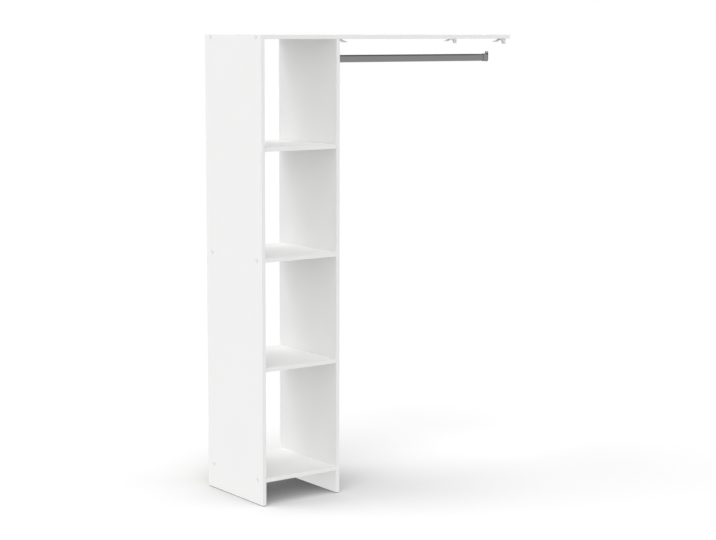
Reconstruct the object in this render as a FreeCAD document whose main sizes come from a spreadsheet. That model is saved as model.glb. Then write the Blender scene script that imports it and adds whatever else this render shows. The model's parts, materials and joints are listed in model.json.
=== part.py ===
import FreeCAD
import Part
import Sketcher
import math
import os
import re
from FreeCAD import Placement, Rotation, Vector

# Open-front wardrobe of coated board: a shelf column on the left whose top board runs on to the right
# over a hanging rail. Millimetres, +Z up, the front faces -Y, the origin lies on the floor under the middle.

sizes = {
    # whole unit and its boards
    "height": 1820,
    "depth": 400,
    "column_width": 366,
    "overhang": 874,
    "board": 16,
    "band": 1,
    # undersides of the shelves above the floor
    "bottom_level": 94,
    "lower_level": 530,
    "middle_level": 956,
    "upper_level": 1380,
    "shelf_play": 1,
    # rows of fixings, counted from the front and back edges
    "front_setback": 37,
    "back_setback": 43,
    "dowel_shift": 32,
    "fit": 0.1,
    # joint screws and their cover caps
    "screw_length": 50,
    "screw_head_radius": 5,
    "screw_shank_radius": 3.5,
    "screw_thread_radius": 2.5,
    "drive_corner": 2.3,
    "cap_radius": 7.5,
    "cap_height": 2,
    "cap_bevel": 0.8,
    "cap_plug_depth": 2.5,
    "drive_depth": 3,
    # wooden dowels
    "dowel_radius": 4,
    "dowel_length": 30,
    "dowel_in_face": 10,
    "hole_spare": 1,
    # pins of the loose shelves
    "pin_radius": 2.5,
    "pin_depth": 9,
    "seat_radius": 5,
    "seat_length": 9,
    # floor glides
    "glide_height": 3,
    "glide_radius": 7.5,
    "glide_edge": 1,
    # hanging rail and its sockets
    "rail_drop": 79,
    "rail_setback": 146,
    "rail_height": 30,
    "rail_width": 15,
    "rail_wall": 1,
    "rail_fit": 0.15,
    "socket_plate": 2.5,
    "socket_half_width": 10,
    "collar_wall": 1.2,
    "collar_length": 22,
    "ear_rise": 10.6,
    "ear_hole_rise": 5.5,
    "ear_corner": 5,
    # small screws of the brackets and the socket
    "small_screw_length": 14,
    "small_screw_radius": 1.75,
    "small_head_radius": 3.2,
    "small_head_top": 2.2,
    "small_head_height": 2,
    "small_hole_radius": 2.1,
    # corner brackets and their hinged covers
    "bracket_width": 20,
    "bracket_wall": 2.5,
    "bracket_top_leg": 24,
    "bracket_side_leg": 22,
    "bracket_top_hole": 14,
    "bracket_side_hole": 13,
    "gusset": 1.8,
    "gusset_radius": 20,
    "gusset_rim": 3,
    "ear_radius": 2.4,
    "hinge_pin_radius": 0.9,
    "hinge_fit": 0.05,
    "hinge_side_play": 0.5,
    "hinge_pin_inset": 0.3,
    "barrel_radius": 1.6,
    "cover_wall": 1.5,
    "cover_neck": 5.8,
    "cover_length": 32.5,
    "cover_lip": 2,
    "cover_droop": 18,
}

# Places and sizes that follow from the driving ones.
formulas = {
    "total_width": "column_width + overhang",
    "left_face": "-total_width / 2",
    "end_face": "total_width / 2",
    "column_face": "left_face + column_width",
    "left_inside": "left_face + board",
    "right_inside": "column_face - board",
    "inner_width": "column_width - 2 * board",
    "front_face": "-depth / 2",
    "front_core": "front_face + band",
    "core_depth": "depth - band",
    "top_level": "height - board",
    "top_length": "total_width - board",
    "front_row": "front_face + front_setback",
    "back_row": "depth / 2 - back_setback",
    "middle_row": "(front_row + back_row) / 2",
    "front_dowel_row": "front_row + dowel_shift",
    "back_dowel_row": "back_row - dowel_shift",
    "rail_row": "front_face + rail_setback",
    "rail_level": "top_level - rail_drop",
    "rail_half_span": "(rail_height - rail_width) / 2",
    "ear_top": "rail_height / 2 + ear_rise",
    "ear_hole": "rail_height / 2 + ear_hole_rise",
    "ear_side": "socket_half_width - ear_corner",
    "hinge_x": "bracket_top_leg + ear_radius",
    "gusset_end": "bracket_top_leg - gusset_rim",
    "neck_width": "bracket_width - 2 * gusset - 2 * hinge_side_play",
}

# Directions in which a turned piece can point: its own axis is +X.
headings = {
    "right": Rotation(),
    "left": Rotation(Vector(0, 0, 1), 180),
    "up": Rotation(Vector(0, 1, 0), -90),
    "down": Rotation(Vector(0, 1, 0), 90),
}

doc = FreeCAD.newDocument("open_front_wardrobe")
sheet = doc.addObject("Spreadsheet::Sheet", "Sizes")
for row, (alias, size) in enumerate(sizes.items(), start=1):
    sheet.set(f"A{row}", alias)
    sheet.set(f"B{row}", str(size))
    sheet.setAlias(f"B{row}", alias)
doc.recompute()

pieces = []


def expand(formula):
    # Writes a formula out in cells of the sheet.
    def word(match):
        name = match.group()
        if name in formulas:
            return "(" + expand(formulas[name]) + ")"
        if name in sizes:
            return "Sizes." + name
        return name

    return re.sub(r"[a-z][a-z_]*", word, formula)


def number(formula):
    return float(sheet.evalExpression(expand(formula)))


def bind(thing, path, formula):
    thing.setExpression(path, expand(formula))


def place(thing, x, y, z, rotation=Rotation()):
    thing.Placement = Placement(Vector(number(x), number(y), number(z)), rotation)
    bind(thing, "Placement.Base.x", x)
    bind(thing, "Placement.Base.y", y)
    bind(thing, "Placement.Base.z", z)


def new_body(name):
    body = doc.addObject("PartDesign::Body", name)
    body.Label = name
    return body


def origin_plane(body, role):
    return next(plane for plane in body.Origin.OriginFeatures if plane.Role == role)


def new_sketch(body, role, offset="0"):
    # A sketch parallel to one of the body's own planes.
    sketch = body.newObject("Sketcher::SketchObject", "sketch")
    sketch.AttachmentSupport = [(origin_plane(body, role), "")]
    sketch.MapMode = "FlatFace"
    bind(sketch, "AttachmentOffset.Base.z", offset)
    return sketch


def hold(sketch, constraint, formula):
    # Adds a dimension and ties it to the sheet.
    index = sketch.addConstraint(constraint)
    bind(sketch, f"Constraints[{index}]", formula)


def hold_point(sketch, geometry, point, x, y):
    hold(sketch, Sketcher.Constraint("DistanceX", -1, 1, geometry, point, number(x)), x)
    hold(sketch, Sketcher.Constraint("DistanceY", -1, 1, geometry, point, number(y)), y)


def arc_between(start, end, radius, turn):
    # The shorter arc from start to end, with its centre on the left (turn 1) or right (turn -1).
    chord = end - start
    across = Vector(-chord.y, chord.x, 0)
    across.normalize()
    rise = math.sqrt(radius**2 - (chord.Length / 2) ** 2)
    centre = (start + end) / 2 + across * (rise * turn)
    first, last = (start, end) if turn > 0 else (end, start)
    angles = [math.atan2(p.y - centre.y, p.x - centre.x) for p in (first, last)]
    if angles[1] < angles[0]:
        angles[1] += 2 * math.pi
    return Part.ArcOfCircle(Part.Circle(centre, Vector(0, 0, 1), radius), *angles)


def outline(sketch, corners):
    # A closed path. A corner (x, y) starts a line and a corner (x, y, radius, turn) starts an arc.
    points = [Vector(number(corner[0]), number(corner[1]), 0) for corner in corners]
    ends = []
    for index, corner in enumerate(corners):
        here = points[index]
        there = points[(index + 1) % len(points)]
        if len(corner) == 2:
            line = sketch.addGeometry(Part.LineSegment(here, there), False)
            ends.append((line, 1, 2))
        else:
            radius, turn = corner[2:]
            arc = sketch.addGeometry(arc_between(here, there, number(radius), turn), False)
            hold(sketch, Sketcher.Constraint("Radius", arc, number(radius)), radius)
            ends.append((arc, 1, 2) if turn > 0 else (arc, 2, 1))
    for index, (geometry, first, last) in enumerate(ends):
        following = ends[(index + 1) % len(ends)]
        sketch.addConstraint(Sketcher.Constraint("Coincident", geometry, last, following[0], following[1]))
        hold_point(sketch, geometry, first, corners[index][0], corners[index][1])


def rectangle(sketch, x0, y0, x1, y1):
    outline(sketch, [(x0, y0), (x1, y0), (x1, y1), (x0, y1)])


def circles(sketch, centres, radius):
    for x, y in centres:
        circle = Part.Circle(Vector(number(x), number(y), 0), Vector(0, 0, 1), number(radius))
        index = sketch.addGeometry(circle, False)
        hold(sketch, Sketcher.Constraint("Radius", index, number(radius)), radius)
        hold_point(sketch, index, 3, x, y)


def upright_slot(sketch, half_span, radius):
    # Two half circles one above the other, joined by tangent lines.
    span = number(half_span)
    side = number(radius)
    axis = Vector(0, 0, 1)
    top = sketch.addGeometry(Part.ArcOfCircle(Part.Circle(Vector(0, span, 0), axis, side), 0, math.pi), False)
    low_circle = Part.Circle(Vector(0, -span, 0), axis, side)
    low = sketch.addGeometry(Part.ArcOfCircle(low_circle, math.pi, 2 * math.pi), False)
    right = sketch.addGeometry(Part.LineSegment(Vector(side, -span, 0), Vector(side, span, 0)), False)
    left = sketch.addGeometry(Part.LineSegment(Vector(-side, span, 0), Vector(-side, -span, 0)), False)
    for arc, arc_end, line, line_end in ((top, 1, right, 2), (top, 2, left, 1), (low, 1, left, 2), (low, 2, right, 1)):
        sketch.addConstraint(Sketcher.Constraint("Tangent", arc, arc_end, line, line_end))
    sketch.addConstraint(Sketcher.Constraint("Equal", top, low))
    hold(sketch, Sketcher.Constraint("Radius", top, side), radius)
    hold_point(sketch, top, 3, "0", half_span)
    hold_point(sketch, low, 3, "0", "-" + half_span)


def pad(body, sketch, length, symmetric=False):
    feature = body.newObject("PartDesign::Pad", "pad")
    feature.Profile = sketch
    feature.SideType = "Symmetric" if symmetric else "One side"
    bind(feature, "Length", length)
    doc.recompute()
    return feature


def pocket(body, sketch, depth, forward=False, symmetric=False):
    # Cuts against the sketch's normal, or along it when forward.
    before = body.Shape.Volume
    feature = body.newObject("PartDesign::Pocket", "pocket")
    feature.Profile = sketch
    feature.SideType = "Symmetric" if symmetric else "One side"
    feature.Reversed = forward
    bind(feature, "Length", depth)
    doc.recompute()
    if body.Shape.Volume >= before:
        raise RuntimeError(f"a pocket of {body.Label} cuts nothing")


def drill(body, role, offset, centres, radius, depth, forward=False):
    sketch = new_sketch(body, role, offset)
    circles(sketch, centres, radius)
    pocket(body, sketch, depth, forward)


def turn(body, corners):
    # Revolves a half section about X: each corner is a distance along the axis and a radius.
    sketch = new_sketch(body, "XY_Plane")
    outline(sketch, corners)
    feature = body.newObject("PartDesign::Revolution", "revolution")
    feature.Profile = sketch
    feature.ReferenceAxis = (sketch, ["H_Axis"])
    feature.Angle = 360
    doc.recompute()
    return body


def group(name, master, spots):
    # Copies of one piece, each at its own spot and heading, as one sub-part.
    copies = []
    for x, y, z, heading in spots:
        copy = doc.addObject("App::Link", name + "_copy")
        copy.LinkedObject = master
        place(copy, x, y, z, headings[heading])
        copies.append(copy)
    compound = doc.addObject("Part::Compound", name)
    compound.Label = name
    compound.Links = copies
    pieces.append(compound)


def strip(name, x, y, z, length, width, tall):
    # A plain edge band.
    box = doc.addObject("Part::Box", name)
    box.Label = name
    bind(box, "Length", length)
    bind(box, "Width", width)
    bind(box, "Height", tall)
    place(box, x, y, z)
    pieces.append(box)


# Rows of the fixings as a board sees them, from the front of its core.
fixing_rows = ["front_row - front_core", "back_row - front_core"]
dowel_rows = ["front_dowel_row - front_core", "back_dowel_row - front_core"]
middle_fixing = "middle_row - front_core"
screw_levels = {"left": ["top_level", "middle_level", "bottom_level"], "right": ["middle_level", "bottom_level"]}
pin_levels = ["upper_level", "lower_level"]


def side_panel(side, x, top):
    # An upright panel with its joint holes and pin holes. Its outer face is on the named side.
    body = new_body(f"{side}_side_panel")
    outer, inner = ("0", "board") if side == "left" else ("board", "0")
    rises = side == "left"
    sketch = new_sketch(body, "YZ_Plane")
    rectangle(sketch, "0", "0", "core_depth", f"{top} - glide_height")
    pad(body, sketch, "board")
    middles = [f"{level} + board / 2 - glide_height" for level in screw_levels[side]]
    centres = new_sketch(body, "YZ_Plane", outer)
    circles(centres, [(row, z) for row in fixing_rows for z in middles], "screw_shank_radius + fit")
    doc.recompute()
    before = body.Shape.Volume
    hole = body.newObject("PartDesign::Hole", "screw_holes")
    hole.Profile = centres
    hole.DepthType = "ThroughAll"
    hole.HoleCutType = "Countersink"
    hole.HoleCutCustomValues = True
    hole.HoleCutCountersinkAngle = 90
    hole.Reversed = rises
    bind(hole, "Diameter", "2 * (screw_shank_radius + fit)")
    bind(hole, "HoleCutDiameter", "2 * (screw_head_radius + fit)")
    doc.recompute()
    if body.Shape.Volume >= before:
        raise RuntimeError(f"the screw holes of {body.Label} cut nothing")
    dowels = [(middle_fixing, z) for z in middles]
    drill(body, "YZ_Plane", inner, dowels, "dowel_radius + fit", "dowel_in_face + hole_spare", not rises)
    pins = [(row, f"{level} - glide_height") for row in fixing_rows for level in pin_levels]
    drill(body, "YZ_Plane", inner, pins, "pin_radius + fit", "pin_depth + hole_spare", not rises)
    place(body, x, "front_core", "glide_height")
    pieces.append(body)
    return body


def flat_board(name, x, z, length):
    body = new_body(name)
    sketch = new_sketch(body, "XY_Plane")
    rectangle(sketch, "0", "0", length, "core_depth")
    pad(body, sketch, "board")
    place(body, x, "front_core", z)
    pieces.append(body)
    return body


def joint_holes(body, end, forward):
    # Pilot holes of the joint screws and a dowel hole in the end of a fixed board.
    screws = [(row, "board / 2") for row in fixing_rows]
    dowel = [(middle_fixing, "board / 2")]
    drill(body, "YZ_Plane", end, screws, "screw_thread_radius + fit", "screw_length - board + hole_spare", forward)
    drill(body, "YZ_Plane", end, dowel, "dowel_radius + fit", "dowel_length - dowel_in_face + hole_spare", forward)


# Side panels. The right one stands under the top board and carries brackets and a rail socket outside.
side_panel("left", "left_face", "height")
right_panel = side_panel("right", "right_inside", "top_level")
small_pilot = "small_screw_radius + fit"
drill(right_panel, "XY_Plane", "top_level - glide_height", [("board / 2", row) for row in dowel_rows],
      "dowel_radius + fit", "dowel_length - dowel_in_face + hole_spare")
drill(right_panel, "YZ_Plane", "board",
      [(row, "top_level - bracket_side_hole - glide_height") for row in fixing_rows],
      small_pilot, "small_screw_length - bracket_wall + hole_spare")
drill(right_panel, "YZ_Plane", "board",
      [("rail_row - front_core", f"rail_level + {rise} - glide_height") for rise in ("0", "ear_hole")],
      small_pilot, "small_screw_length - socket_plate + hole_spare")

# Top board, fixed to the left panel's face, on the right panel's edge and free at its right end.
top_board = flat_board("top_board", "left_inside", "top_level", "top_length - band")
joint_holes(top_board, "0", True)
drill(top_board, "XY_Plane", "0", [("right_inside + board / 2 - left_inside", row) for row in dowel_rows],
      "dowel_radius + fit", "dowel_in_face + hole_spare", True)
bracket_tops = ["column_face + bracket_top_hole", "end_face - bracket_top_hole"]
drill(top_board, "XY_Plane", "0", [(f"{x} - left_inside", row) for x in bracket_tops for row in fixing_rows],
      small_pilot, "small_screw_length - bracket_wall + hole_spare", True)

# Fixed and loose shelves of the column.
for name in ("middle", "bottom"):
    shelf = flat_board(f"{name}_shelf", "left_inside", f"{name}_level", "inner_width")
    joint_holes(shelf, "0", True)
    joint_holes(shelf, "inner_width", False)
for name in ("upper", "lower"):
    flat_board(f"{name}_shelf", "left_inside + shelf_play", f"{name}_level", "inner_width - 2 * shelf_play")

# Edge bands on the fronts and on the free end.
strip("left_side_edge_band", "left_face", "front_face", "glide_height", "board", "band", "height - glide_height")
strip("right_side_edge_band", "right_inside", "front_face", "glide_height", "board", "band",
      "top_level - glide_height")
strip("top_front_edge_band", "left_inside", "front_face", "top_level", "top_length", "band", "board")
strip("top_end_edge_band", "end_face - band", "front_core", "top_level", "band", "core_depth", "board")
for name, play in (("upper", "shelf_play"), ("middle", "0"), ("lower", "shelf_play"), ("bottom", "0")):
    strip(f"{name}_shelf_edge_band", f"left_inside + {play}", "front_face", f"{name}_level",
          f"inner_width - 2 * {play}", "band", "board")

# Joint screw: countersunk head with a hexagon socket, plain shank in the panel, thread in the board's end.
joint_screw = turn(new_body("joint_screw"), [
    ("0", "0"),
    ("screw_length", "0"),
    ("screw_length", "screw_thread_radius"),
    ("board - hole_spare", "screw_thread_radius"),
    ("board - hole_spare", "screw_shank_radius"),
    ("screw_head_radius - screw_shank_radius", "screw_shank_radius"),
    ("0", "screw_head_radius"),
])
drive = new_sketch(joint_screw, "YZ_Plane")
drive_half = "drive_corner / 2"
drive_flat = "drive_corner * 0.8660254"
outline(drive, [
    ("drive_corner", "0"),
    (drive_half, drive_flat),
    ("-" + drive_half, drive_flat),
    ("-drive_corner", "0"),
    ("-" + drive_half, "-" + drive_flat),
    (drive_half, "-" + drive_flat),
])
pocket(joint_screw, drive, "drive_depth", forward=True)

# Cover cap: a low bevelled disc whose plug sits in the screw's hexagon socket.
plug_radius = f"{drive_flat} - fit"
screw_cap = turn(new_body("screw_cap"), [
    ("-cap_height", "0"),
    ("cap_plug_depth", "0"),
    ("cap_plug_depth", plug_radius),
    ("0", plug_radius),
    ("0", "cap_radius"),
    ("cap_bevel - cap_height", "cap_radius"),
    ("-cap_height", "cap_radius - cap_bevel"),
])
dowel = turn(new_body("dowel"), [
    ("0", "0"),
    ("dowel_length", "0"),
    ("dowel_length", "dowel_radius"),
    ("0", "dowel_radius"),
])
small_screw = turn(new_body("small_screw"), [
    ("-small_head_height", "0"),
    ("small_screw_length", "0"),
    ("small_screw_length", "small_screw_radius"),
    ("0", "small_screw_radius"),
    ("0", "small_head_radius"),
    ("-small_head_height", "small_head_top"),
])
# Glide: a round foot with a chamfered edge, stuck under a panel.
floor_glide = turn(new_body("floor_glide"), [
    ("0", "0"),
    ("glide_height", "0"),
    ("glide_height", "glide_radius"),
    ("glide_edge", "glide_radius"),
    ("0", "glide_radius - glide_edge"),
])
# Shelf pin: a peg in the panel and a round seat with its upper half cut away under the shelf.
shelf_pin = turn(new_body("shelf_pin"), [
    ("-pin_depth", "0"),
    ("seat_length", "0"),
    ("seat_length", "seat_radius"),
    ("0", "seat_radius"),
    ("0", "pin_radius"),
    ("-pin_depth", "pin_radius"),
])
seat_cut = new_sketch(shelf_pin, "XZ_Plane")
rectangle(seat_cut, "0", "0", "seat_length", "seat_radius")
pocket(shelf_pin, seat_cut, "2 * seat_radius", symmetric=True)

rows = ["front_row", "back_row"]
both_sides = {"left": ("left_face", "right"), "right": ("column_face", "left")}
for name, sides in (("top", ["left"]), ("middle", ["left", "right"]), ("bottom", ["left", "right"])):
    joint = "top_joint" if name == "top" else f"{name}_shelf"
    level = f"{name}_level + board / 2"
    heads = [(both_sides[side][0], row, level, both_sides[side][1]) for side in sides for row in rows]
    group(f"{joint}_screws", joint_screw, heads)
    starts = {"left": ("left_inside - dowel_in_face", "right"), "right": ("right_inside + dowel_in_face", "left")}
    group(f"{joint}_dowels", dowel, [(starts[side][0], "middle_row", level, starts[side][1]) for side in sides])
for side, (face, way) in both_sides.items():
    spots = [(face, row, f"{level} + board / 2", way) for level in screw_levels[side] for row in rows]
    group(f"{side}_screw_caps", screw_cap, spots)
for side, middle in (("left", "left_face + board / 2"), ("right", "column_face - board / 2")):
    group(f"{side}_floor_glides", floor_glide, [(middle, row, "0", "up") for row in rows])
group("right_panel_dowels", dowel, [
    ("right_inside + board / 2", row, "top_level + dowel_in_face", "down")
    for row in ("front_dowel_row", "back_dowel_row")
])
for name in ("upper", "lower"):
    seats = (("left_inside", "right"), ("right_inside", "left"))
    group(f"{name}_shelf_pins", shelf_pin, [(x, row, f"{name}_level", way) for x, way in seats for row in rows])

# Hanging rail: an oval tube between two sockets.
rail = new_body("hanging_rail")
rail_section = new_sketch(rail, "YZ_Plane")
upright_slot(rail_section, "rail_half_span", "rail_width / 2")
upright_slot(rail_section, "rail_half_span", "rail_width / 2 - rail_wall")
pad(rail, rail_section, "overhang - 2 * socket_plate")
place(rail, "column_face + socket_plate", "rail_row", "rail_level")
pieces.append(rail)


def rail_socket(name, x, heading):
    # A plate with a screw ear above the rail, a second hole behind the tube, and a collar round the tube.
    body = new_body(name)
    plate = new_sketch(body, "YZ_Plane")
    outline(plate, [
        ("0", "-rail_half_span - socket_half_width", "socket_half_width", 1),
        ("socket_half_width", "-rail_half_span"),
        ("socket_half_width", "ear_top - ear_corner", "ear_corner", 1),
        ("ear_side", "ear_top"),
        ("-ear_side", "ear_top", "ear_corner", 1),
        ("-socket_half_width", "ear_top - ear_corner"),
        ("-socket_half_width", "-rail_half_span", "socket_half_width", 1),
    ])
    pad(body, plate, "socket_plate")
    collar = new_sketch(body, "YZ_Plane", "socket_plate")
    upright_slot(collar, "rail_half_span", "rail_width / 2 + rail_fit + collar_wall")
    upright_slot(collar, "rail_half_span", "rail_width / 2 + rail_fit")
    pad(body, collar, "collar_length")
    drill(body, "YZ_Plane", "0", [("0", "0"), ("0", "ear_hole")], "small_hole_radius", "socket_plate", True)
    place(body, x, "rail_row", "rail_level", headings[heading])
    pieces.append(body)


rail_socket("panel_rail_socket", "column_face", "right")
rail_socket("end_rail_socket", "end_face", "left")
group("panel_socket_screws", small_screw, [
    ("column_face + socket_plate", "rail_row", f"rail_level + {rise}", "left") for rise in ("0", "ear_hole")
])


def corner_bracket(name, x, row, heading):
    # A moulded angle with a concave gusset at each side, which carry the hinge of the cover at the outer end.
    # Its own origin is the corner between the upright face and the underside of the top board.
    body = new_body(name)
    side = new_sketch(body, "XZ_Plane")
    outline(side, [
        ("0", "0"),
        ("0", "-bracket_side_leg"),
        ("bracket_wall", "-bracket_side_leg", "gusset_radius", -1),
        ("gusset_end", "-2 * ear_radius"),
        ("hinge_x", "-2 * ear_radius", "ear_radius", 1),
        ("hinge_x + ear_radius", "-ear_radius", "ear_radius", 1),
        ("hinge_x", "0"),
    ])
    pad(body, side, "bracket_width", symmetric=True)
    hollow = new_sketch(body, "XZ_Plane")
    outline(hollow, [
        ("bracket_wall", "-bracket_wall"),
        ("bracket_wall", "-2 * bracket_side_leg"),
        ("hinge_x + 2 * ear_radius", "-2 * bracket_side_leg"),
        ("hinge_x + 2 * ear_radius", "ear_radius"),
        ("bracket_top_leg", "ear_radius"),
        ("bracket_top_leg", "-bracket_wall"),
    ])
    pocket(body, hollow, "bracket_width - 2 * gusset", symmetric=True)
    hinge = new_sketch(body, "XZ_Plane")
    circles(hinge, [("hinge_x", "-ear_radius")], "hinge_pin_radius + hinge_fit")
    pocket(body, hinge, "2 * bracket_width", symmetric=True)
    drill(body, "XY_Plane", "0", [("bracket_top_hole", "0")], "small_hole_radius", "bracket_wall")
    drill(body, "YZ_Plane", "0", [("0", "-bracket_side_hole")], "small_hole_radius", "bracket_wall", True)
    place(body, x, row, "top_level", headings[heading])
    pieces.append(body)


def bracket_cover(name, hinge, row, heading):
    # A flat cover on two trunnions. Its cheeks fill the concave gussets when it is shut. Its origin is the hinge.
    body = new_body(name)
    barrel = new_sketch(body, "XZ_Plane")
    circles(barrel, [("0", "0")], "barrel_radius")
    pad(body, barrel, "neck_width", symmetric=True)
    trunnions = new_sketch(body, "XZ_Plane")
    circles(trunnions, [("0", "0")], "hinge_pin_radius")
    pad(body, trunnions, "bracket_width - 2 * hinge_pin_inset", symmetric=True)
    neck = new_sketch(body, "XZ_Plane")
    rectangle(neck, "0", "-cover_wall / 2", "cover_length", "cover_wall / 2")
    pad(body, neck, "neck_width", symmetric=True)
    plate = new_sketch(body, "XZ_Plane")
    rectangle(plate, "cover_neck", "-cover_wall / 2", "cover_length", "cover_wall / 2")
    pad(body, plate, "bracket_width", symmetric=True)
    cheek = new_sketch(body, "XZ_Plane", "bracket_width / 2 - gusset")
    outline(cheek, [
        ("cover_length - cover_lip", "-cover_wall / 2"),
        ("cover_neck", "-cover_wall / 2", "gusset_radius", 1),
    ])
    near_cheek = pad(body, cheek, "gusset")
    cheeks = body.newObject("PartDesign::Mirrored", "cheeks")
    cheeks.Originals = [near_cheek]
    cheeks.MirrorPlane = (origin_plane(body, "XZ_Plane"), [""])
    body.Tip = cheeks
    doc.recompute()
    droop = Rotation(Vector(0, 1, 0), number("cover_droop"))
    place(body, hinge, row, "top_level - ear_radius", headings[heading] * droop)
    pieces.append(body)


bracket_sites = {
    "panel": ("column_face", "column_face + hinge_x", "right"),
    "end": ("end_face", "end_face - hinge_x", "left"),
}
for site, (corner, hinge, heading) in bracket_sites.items():
    for where, row in (("front", "front_row"), ("back", "back_row")):
        corner_bracket(f"{site}_bracket_{where}", corner, row, heading)
        bracket_cover(f"{site}_cover_{where}", hinge, row, heading)
panel_heads = [("column_face + bracket_wall", row, "top_level - bracket_side_hole", "left") for row in rows]
panel_tops = [(bracket_tops[0], row, "top_level - bracket_wall", "up") for row in rows]
group("panel_bracket_screws", small_screw, panel_heads + panel_tops)
group("end_bracket_screws", small_screw, [(bracket_tops[1], row, "top_level - bracket_wall", "up") for row in rows])

doc.recompute()
faults = [thing.Label for thing in doc.Objects if {"Invalid", "Error"} & set(thing.State)]
faults += [piece.Label for piece in pieces if piece.Shape.isNull() or not piece.Shape.isValid()]
if faults:
    raise RuntimeError("failed: " + ", ".join(faults))

os.makedirs("parts", exist_ok=True)
for piece in pieces:
    piece.Shape.exportStep(f"parts/{piece.Label}.step")
print(len(pieces), "sub-parts,", sum(len(piece.Shape.Solids) for piece in pieces), "solids")
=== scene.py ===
import json
import math

import bpy
import numpy as np
from mathutils import Matrix, Vector

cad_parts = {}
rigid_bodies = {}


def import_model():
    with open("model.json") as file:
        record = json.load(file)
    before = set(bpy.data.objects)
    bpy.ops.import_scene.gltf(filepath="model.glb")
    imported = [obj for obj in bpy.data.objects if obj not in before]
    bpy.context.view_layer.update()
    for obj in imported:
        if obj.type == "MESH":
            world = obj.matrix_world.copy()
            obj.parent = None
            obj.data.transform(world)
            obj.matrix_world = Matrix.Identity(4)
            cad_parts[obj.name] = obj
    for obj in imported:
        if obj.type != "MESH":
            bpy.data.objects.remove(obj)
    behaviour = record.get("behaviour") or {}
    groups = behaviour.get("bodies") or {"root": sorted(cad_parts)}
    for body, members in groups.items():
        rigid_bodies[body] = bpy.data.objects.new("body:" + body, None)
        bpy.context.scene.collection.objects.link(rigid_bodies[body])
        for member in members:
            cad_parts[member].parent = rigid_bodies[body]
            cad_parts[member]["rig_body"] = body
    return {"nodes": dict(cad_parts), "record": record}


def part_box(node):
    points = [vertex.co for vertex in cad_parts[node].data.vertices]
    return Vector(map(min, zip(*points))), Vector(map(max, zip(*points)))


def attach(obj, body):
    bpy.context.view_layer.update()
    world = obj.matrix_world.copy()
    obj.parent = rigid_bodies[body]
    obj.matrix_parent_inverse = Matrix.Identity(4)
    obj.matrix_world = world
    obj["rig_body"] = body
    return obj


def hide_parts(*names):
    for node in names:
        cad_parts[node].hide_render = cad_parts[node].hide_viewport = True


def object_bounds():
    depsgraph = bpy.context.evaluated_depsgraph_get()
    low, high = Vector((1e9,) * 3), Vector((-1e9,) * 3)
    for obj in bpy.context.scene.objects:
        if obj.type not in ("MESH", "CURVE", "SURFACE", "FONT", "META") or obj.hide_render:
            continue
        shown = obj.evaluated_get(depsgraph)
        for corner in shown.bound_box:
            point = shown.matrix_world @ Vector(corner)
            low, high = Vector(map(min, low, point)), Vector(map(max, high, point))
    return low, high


# Looks of the open-front wardrobe: white coated boards, moulded brackets with covers, a satin rail.
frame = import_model()
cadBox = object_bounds()
mm = 0.001
slotOf = {row["node"]: row["material_slot"] for row in frame["record"]["subparts"]}


class Wire:
    # One socket of a node tree. Sums, products and tests of wires add Math nodes, node() adds any other kind.
    def __init__(self, tree, socket=None):
        self.tree = tree
        self.socket = socket

    def node(self, kind, settings=None, inputs=None, output=0):
        made = self.tree.nodes.new(kind)
        for key, value in (settings or {}).items():
            setattr(made, key, value)
        for key, value in (inputs or {}).items():
            self.feed(made.inputs[key], value)
        return Wire(self.tree, made.outputs[output])

    def feed(self, target, value):
        if isinstance(value, Wire):
            self.tree.links.new(value.socket, target)
        else:
            target.default_value = value

    def math(self, operation, first, second=0.0):
        return self.node("ShaderNodeMath", {"operation": operation}, {0: first, 1: second})

    def __add__(self, other):
        return self.math("ADD", self, other)

    def __sub__(self, other):
        return self.math("SUBTRACT", self, other)

    def __rsub__(self, other):
        return self.math("SUBTRACT", other, self)

    def __mul__(self, other):
        return self.math("MULTIPLY", self, other)

    def __gt__(self, other):
        return self.math("GREATER_THAN", self, other)

    def __lt__(self, other):
        return self.math("LESS_THAN", self, other)

    def __abs__(self):
        return self.math("ABSOLUTE", self)

    def either(self, other):
        return self.math("MAXIMUM", self, other)

    __radd__ = __add__
    __rmul__ = __mul__


def newFinish(name):
    finish = bpy.data.materials.new(name)
    finish.use_nodes = True
    return finish, finish.node_tree.nodes["Principled BSDF"].inputs, Wire(finish.node_tree)


def place(wire):
    return wire.node("ShaderNodeTexCoord", output="Object")


def coordinate(wire, axis):
    return wire.node("ShaderNodeSeparateXYZ", inputs={0: place(wire)}, output=axis)


def speckle(wire, scale, detail=2.0, stretch=(1, 1, 1)):
    # Noise about zero, from -0.5 to 0.5, of so many cells per metre, drawn out by stretch along the axes.
    drawn = wire.node("ShaderNodeVectorMath", {"operation": "MULTIPLY"}, {0: place(wire), 1: stretch})
    return wire.node("ShaderNodeTexNoise", inputs={"Vector": drawn, "Scale": scale, "Detail": detail}) - 0.5


def drawnOut(along, share):
    # The stretch that draws a pattern out along one axis.
    stretch = [1, 1, 1]
    stretch[along] = share
    return stretch


def mixed(wire, share, first, second):
    # From the first colour to the second. The colours of a Mix node are its inputs 6 and 7, and the mix is
    # its output 2.
    first, second = (colour if isinstance(colour, Wire) else (*colour, 1) for colour in (first, second))
    return wire.node("ShaderNodeMix", {"data_type": "RGBA"}, {0: share, 6: first, 7: second}, 2)


def relief(wire, height, depth):
    return wire.node("ShaderNodeBump", inputs={"Strength": 1.0, "Distance": depth, "Height": height})


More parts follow.
